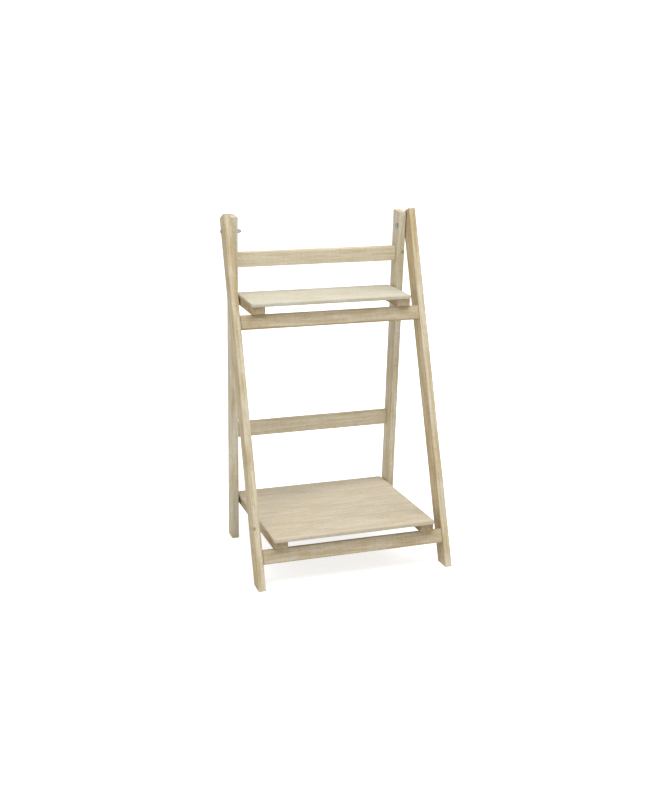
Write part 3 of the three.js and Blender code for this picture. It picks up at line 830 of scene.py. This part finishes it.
def washer(inner, outer, height):
    """A flat ring with eased rims."""
    ease = min(0.2, height / 4)
    return turned(*profile(
        (inner, ease), (inner + ease, 0), (outer - ease, 0), (outer, ease),
        (outer, height - ease), (outer - ease, height), (inner + ease, height),
        (inner, height - ease)), closed=True)


def round_pin(radius, length):
    """A plain pin whose two rims are eased in two steps."""
    ease, step = 0.5, 0.15
    return turned(*profile((0.02, 0), (radius - ease, 0), (radius - step, step), (radius, ease),
                           (radius, length - ease), (radius - step, length - step),
                           (radius - ease, length), (0.02, length)))


print("corners of a washer:", len(washer(2.5, 5.5, 1.0)[0]))

# %% [markdown]
# Each shape is made along Z and then laid along its own axis. The measured pieces say where it
# starts and how long it is, so the metal fits the holes without a number being written twice.

# %% Put the metal in its places
BOLT_HEAD, BOLT_HEAD_HEIGHT = 4.75, 3.0
NUT_FLATS, NUT_EASE = 8.0, 0.2
WASHER_RADIUS, SPACER_RADIUS = 5.5, 6.0
metal_pieces = {}


def place_metal(node, shape, axis, start):
    """Lays a shape along an axis from a place, in millimetres, for a measured piece."""
    points, faces = shape
    mesh = make_mesh(f"made_{node}", laid(points, axis, start) * MM, faces)
    crease(mesh, METAL_CREASE)
    metal_pieces[node] = stand_in(node, mesh)


for side, out in (("left", -1.0), ("right", 1.0)):
    node = f"hinge_bolt_{side}"
    low, high, (_, y, z) = span(node)
    tip, head_top = (high[0], low[0]) if out < 0 else (low[0], high[0])
    seat = abs(head_top - tip) - BOLT_HEAD_HEIGHT
    place_metal(node, machine_bolt(BOLT_HEAD, BOLT_HEAD_HEIGHT, BOLT_SHANK, seat),
                (out, 0, 0), (tip, y, z))
    for kind in ("washer", "spacer", "nut"):
        node = f"hinge_{kind}_{side}"
        low, high, (_, y, z) = span(node)
        wide = high[0] - low[0]
        shape = (hex_nut(NUT_FLATS, BOLT_SHANK + NUT_EASE, wide) if kind == "nut"
                 else washer(BOLT_SHANK + HOLE_EASE, WASHER_RADIUS, wide))
        place_metal(node, shape, (1, 0, 0), (low[0], y, z))
    for shelf in ("upper", "lower"):
        node = f"{shelf}_pivot_screw_{side}"
        low, high, (_, y, z) = span(node)
        place_metal(node, countersunk_screw(PIVOT_HEAD, PIVOT_SHANK, high[0] - low[0]),
                    (out, 0, 0), (low[0] if out < 0 else high[0], y, z))
        node = f"{shelf}_pivot_spacer_{side}"
        low, high, (_, y, z) = span(node)
        place_metal(node, washer(PIVOT_SHANK + HOLE_EASE, SPACER_RADIUS, high[0] - low[0]),
                    (1, 0, 0), (low[0], y, z))
        foot, along, length = locating_pin(shelf, side)
        place_metal(f"locating_pin_{shelf}_{side}", round_pin(PIN_RADIUS, length), along, foot)
for node in board_screws:
    face, into, length = board_screw(node)
    place_metal(node, countersunk_screw(SCREW_HEAD, SCREW_SHANK, length), -into, face)
print("metal pieces:", len(metal_pieces))

# %% [markdown]
# ## White wash over wood
# The wood is pale, with close, straight grain. A thin white stain was brushed over it and wiped
# back, so it is creamy grey where the stain held, tan in long soft streaks where it was wiped
# thin, brownish in the pores, and warmer along the edges. The narrow sides are tan and darker,
# partly where the stain is thinner and partly as painted shade. A photograph of wood would repeat
# and stretch. Instead the rings are worked out as they grow: the distance from the heart of the
# tree, bent by slow noise, cut through by the stick wherever it was sawn. End grain then comes out
# right by itself.

# %% The place and the facing in a stick's axes
def stick_axes(stick, tree, coordinates):
    """Two vector fields in the stick's own axes: the place in millimetres from its middle, and
    the way that the surface faces."""
    mapping = tree.nodes.new("ShaderNodeMapping")
    plug((1 / MM,) * 3, mapping.inputs["Scale"])
    plug(stick.turns, mapping.inputs["Rotation"])
    plug((-stick.middle).tolist(), mapping.inputs["Location"])
    tree.links.new(coordinates.outputs["Object"], mapping.inputs["Vector"])
    turning = tree.nodes.new("ShaderNodeMapping")
    turning.vector_type = "VECTOR"
    plug(stick.turns, turning.inputs["Rotation"])
    tree.links.new(coordinates.outputs["Normal"], turning.inputs["Vector"])
    return Field(tree, mapping.outputs["Vector"]), Field(tree, turning.outputs["Vector"])


def worn_edge(stick, place, grit):
    """1 along the edges, where the sanding block went through the stain. An edge is near where
    the distances to the two nearest sides add up to little: the sum of all three, less the
    largest."""
    first, second, third = (
        (along.maths("ABSOLUTE") * -1.0) + float(half)
        for along, half in zip(parts_of(place), stick.half))
    nearest = first + second + third - first.maths("MAXIMUM", second).maths("MAXIMUM", third)
    return (nearest + (grit - 0.5) * 6.0).within(3.2, 0.3)


print("each of", len(sticks), "sticks has axes of its own")

# %% [markdown]
# A tree lays down a ring a year, pale in spring and darker towards autumn. A branch that the tree
# grew round is a knot, and the rings swerve to pass it, so a knot adds to the distance from the
# heart in a soft hump.

# %% Growth rings and knots
RING_WIDTH = 2.6
RING_BEND = 16.0
KNOT_STRETCH = 1.35


def knot_gap(place, seed, knot):
    """The distance from a knot's middle, in millimetres, made ragged by noise."""
    axis, across, along, radius = knot
    u, v, w = parts_of(place)
    side, rise = (u if axis == "u" else v) - across, (w - along) / KNOT_STRETCH
    gap = (side * side + rise * rise).maths("SQRT")
    return gap + (noise(place, (0.5, 0.5, 0.35), seed + 9, 2.0) - 0.5) * radius * 0.7


def growth(place, seed, pith, knots):
    """Three fields: the late wood of the rings, and the core and the rim of any knots. The late
    wood is dark where the fraction of distance / RING_WIDTH is nearly 1."""
    u, v, _ = parts_of(place)
    bend = noise(place, (1 / 50, 1 / 50, 1 / 420), seed, 1.0, "Color")
    bend_u, bend_v, _ = parts_of(vector_maths("SUBTRACT", bend, (0.5, 0.5, 0.5)))
    from_u, from_v = u + bend_u * RING_BEND - pith[0], v + bend_v * RING_BEND - pith[1]
    heart = (from_u * from_u + from_v * from_v).maths("SQRT")
    core = rim = u * 0.0
    for knot in knots:
        gap, radius = knot_gap(place, seed, knot), knot[-1]
        heart = heart + gap.within(radius * 4.5, 0.0) * radius * 1.6
        core = core.maths("MAXIMUM", gap.within(radius, radius * 0.6))
        rim = rim.maths("MAXIMUM", gap.within(radius * 1.9, radius * 0.9))
    ring = heart / RING_WIDTH + noise(place, (1 / 14, 1 / 14, 1 / 260), seed + 1, 2.0) * 0.6
    phase = ring.maths("FRACT")
    return phase.within(0.35, 0.90) * phase.within(1.0, 0.92), core, rim


print("growth rings", RING_WIDTH, "mm apart")

# %% [markdown]
# Everything else is laid over the plain wash in thin layers, most of them multiplied in like a
# glaze, so that a dark streak under a dark pore gets darker still. The patterns differ only in
# how far they are drawn out along the grain: fibres are nearly forty times as long as they are
# wide, and brush marks run across.

# %% Layers of the wash
CHALK = paint(238, 234, 224)
STREAK_TAN = paint(224, 211, 178)
PORE_BROWN = paint(146, 122, 90)
WORN_WOOD = paint(208, 195, 166)
# Tan of the narrow sides: partly a thinner wash, partly painted shade where those faces get less
# light.
SIDE_TAN_AND_SHADE = paint(240, 229, 206)
KNOT_BROWN = paint(128, 100, 70)
KNOT_RIM = paint(176, 150, 114)
LATE_TONE, CHALK_TONE, FIBRE_TONE = 0.16, 0.34, 0.30
GRIT_TONE, PORE_TONE, END_TONE = 0.24, 0.30, 0.22
RIM_TONE, CORE_TONE = 0.40, 0.60
# Cells a millimetre along u, v and w, the pattern's place in space, and its detail
GRAIN = {
    "fibre": ((0.80, 0.80, 0.022), 2, 4.0),
    "streak": ((0.19, 0.19, 0.0075), 3, 4.0),
    "pore": ((2.2, 2.2, 0.11), 4, 1.0),
    "chalk": ((0.55, 0.55, 0.030), 5, 3.0),
    "blotch": ((1 / 26, 1 / 26, 1 / 70), 6, 3.0),
    "brush": ((1 / 55, 1 / 55, 1 / 5.5), 7, 2.0),
    "grit": ((0.32, 0.32, 0.17), 8, 3.0),
}


def whitewash(stick, seed, pith, wash, finish, knots=()):
    """One recipe for every stick, each cut from its own place in a tree. Pith is where the heart
    of the tree lies beside the stick, in its u and v. Wash is the base colour, which on some
    pieces also carries painted light and painted shade. Finish gives how strong the streaks, the
    blotches, the brush marks, the tan and painted shade of the narrow sides and the wear of the
    edges are. A knot is (axis across, place on it, place along, radius)."""
    streaky, blotchy, brushed, side_tan_and_shade, worn = finish
    material, tree, shader, coordinates = new_material(f"whitewashed_{stick.node}")
    place, facing = stick_axes(stick, tree, coordinates)
    late, core, rim = growth(place, seed, pith, knots)
    fibre, streak, pore, chalk, blotch, brush, grit = (
        noise(place, per_mm, seed + number, detail) for per_mm, number, detail in GRAIN.values())
    pore, chalk = pore.within(0.60, 0.74), chalk.within(0.50, 0.78)
    across_u, _, along_w = parts_of(facing)
    # narrow is 1 on the faces across u: the sides of legs and cleats, the tops and bottoms of
    # rails. It masks a painted shade.
    narrow = across_u.maths("ABSOLUTE").within(0.55, 0.85)
    cut_end = along_w.maths("ABSOLUTE").within(0.55, 0.85)

    layers = [
        (streak.within(0.36, 0.66) * streaky, STREAK_TAN, "MULTIPLY"),
        (blotch.within(0.40, 0.66) * blotchy, STREAK_TAN, "MULTIPLY"),
        (late * LATE_TONE, STREAK_TAN, "MULTIPLY"),
        # Painted shade, partly: darkens and warms the faces across u, on top of their thinner
        # wash.
        (narrow * side_tan_and_shade, SIDE_TAN_AND_SHADE, "MULTIPLY"),
        (chalk * CHALK_TONE, CHALK, "MIX"),
        (fibre.within(0.34, 0.68) * FIBRE_TONE, WORN_WOOD, "MULTIPLY"),
        (brush.within(0.40, 0.64) * brushed, WORN_WOOD, "MULTIPLY"),
        (grit.within(0.48, 0.68) * GRIT_TONE, WORN_WOOD, "MULTIPLY"),
        (pore * PORE_TONE, PORE_BROWN, "MIX"),
        (worn_edge(stick, place, grit) * worn, WORN_WOOD, "MULTIPLY"),
        (cut_end * END_TONE, WORN_WOOD, "MULTIPLY"),
    ]
    height = (fibre * 0.05 + chalk * 0.02 + grit * 0.04) - pore * 0.06 - late * 0.02
    if knots:
        layers += [(rim * RIM_TONE, KNOT_RIM, "MIX"), (core * CORE_TONE, KNOT_BROWN, "MIX")]
        height = height - core * 0.10
    colour = wash
    for amount, tint, mode in layers:
        colour = blend(amount, colour, tint, mode)
    plug(colour, shader.inputs["Base Color"])
    plug(fibre * 0.20 + 0.58 - chalk * 0.06 + cut_end * 0.10, shader.inputs["Roughness"])
    plug(0.32, shader.inputs["Specular IOR Level"])
    add_bump(tree, shader, 1.0, height)
    return material


print("patterns in the wash:", ", ".join(GRAIN))

# %% [markdown]
# Each stick gets a heart of its own, so no two show the same figure. The boards are sawn flat,
# with the heart far above or below them, so few rings show. The bars have it to one side, which
# gives them straight grain. The wash is cool on the boards, tan on the cleats, and most worn on
# the cleats and the front rails. It is lighter on the rear legs and back rails as painted light,
# and darker on the lower board and lower cleats, partly as painted shade.

# %% Cut every stick from its own tree
KNOTS = {
    "front_leg_left": [("u", -4.5, -264.0, 2.6)],
    "rear_leg_right": [("u", 4.1, 287.4, 3.0)],
    "rear_leg_left": [("v", -6.0, -170.0, 2.4)],
}
# Painted light and shade: the rear legs and back rails are washed lighter for the light they get
# from behind, and the lower board and lower cleats darker, partly as painted shade.
WASH_AND_PAINTED_LIGHT = {
    "upper_board": paint(226, 224, 210),
    "lower_board": paint(224, 215, 198),
    "upper_cleat": paint(222, 210, 182),
    "lower_cleat": paint(206, 192, 164),
    "front_leg": paint(235, 226, 204),
    "rear_leg": paint(242, 237, 221),
    "front_rail": paint(220, 209, 187),
    "back_rail": paint(245, 238, 218),
}
# Columns: streaks, blotches, brush marks, the tan and painted shade of the narrow sides, edge
# wear.
FINISH = {
    "front_leg": (0.70, 0.55, 0.08, 0.40, 0.30),
    "rear_leg": (0.60, 0.45, 0.10, 0.10, 0.25),
    "front_rail": (0.60, 0.50, 0.13, 0.80, 0.40),
    "back_rail": (0.40, 0.26, 0.07, 0.50, 0.15),
    "board": (0.30, 0.22, 0.04, 0.0, 0.07),
    "cleat": (0.60, 0.40, 0.12, 0.30, 0.40),
}
for number, (node, piece) in enumerate(sorted(wood_pieces.items())):
    stick = sticks[node]
    pith = (rng.uniform(90, 190) * rng.choice((-1, 1)), rng.uniform(-40, 40))
    if stick.kind != "board":
        pith = (rng.uniform(-50, 50), rng.uniform(70, 150) * rng.choice((-1, 1)))
    wash = next(colour for start, colour in WASH_AND_PAINTED_LIGHT.items() if node.startswith(start))
    piece.data.materials.clear()
    piece.data.materials.append(whitewash(
        stick, 11.0 + 4.3 * number, pith, wash, FINISH[stick.kind], KNOTS.get(node, ())))
print("wood finishes:", len(wood_pieces))

# %% [markdown]
# ## Zinc over steel
# The fastenings are zinc plated: a cool grey with a faint bloom, duller where the plating has
# clouded, and scratched in short lines by handling. Plain grey metal looks like plastic, so the
# roughness carries the clouds and the scratches.

# %% The finish on the metal
BRIGHT_ZINC, CLOUDED_ZINC = paint(178, 180, 178), paint(150, 152, 150)
SCRATCHED_ZINC = paint(196, 198, 196)

zinc, zinc_tree, zinc_shader, zinc_place = new_material("zinc")
zinc_map = zinc_tree.nodes.new("ShaderNodeMapping")
plug((1 / MM,) * 3, zinc_map.inputs["Scale"])
zinc_tree.links.new(zinc_place.outputs["Object"], zinc_map.inputs["Vector"])
zinc_at = Field(zinc_tree, zinc_map.outputs["Vector"])
bloom = noise(zinc_at, (0.9, 0.9, 0.9), 3.0, 4.0)
scratch = noise(zinc_at, (0.5, 7.0, 7.0), 5.0, 2.0).within(0.60, 0.72)
zinc_colour = blend(bloom.within(0.35, 0.65), BRIGHT_ZINC, CLOUDED_ZINC)
zinc_colour = blend(scratch * 0.4, zinc_colour, SCRATCHED_ZINC)
plug(zinc_colour, zinc_shader.inputs["Base Color"])
plug(1.0, zinc_shader.inputs["Metallic"])
plug(bloom * 0.22 + 0.26 + scratch * 0.12, zinc_shader.inputs["Roughness"])
add_bump(zinc_tree, zinc_shader, 0.6, bloom * 0.03 - scratch * 0.02)
for piece in metal_pieces.values():
    piece.data.materials.clear()
    piece.data.materials.append(zinc)
print("metal finishes:", len(metal_pieces))
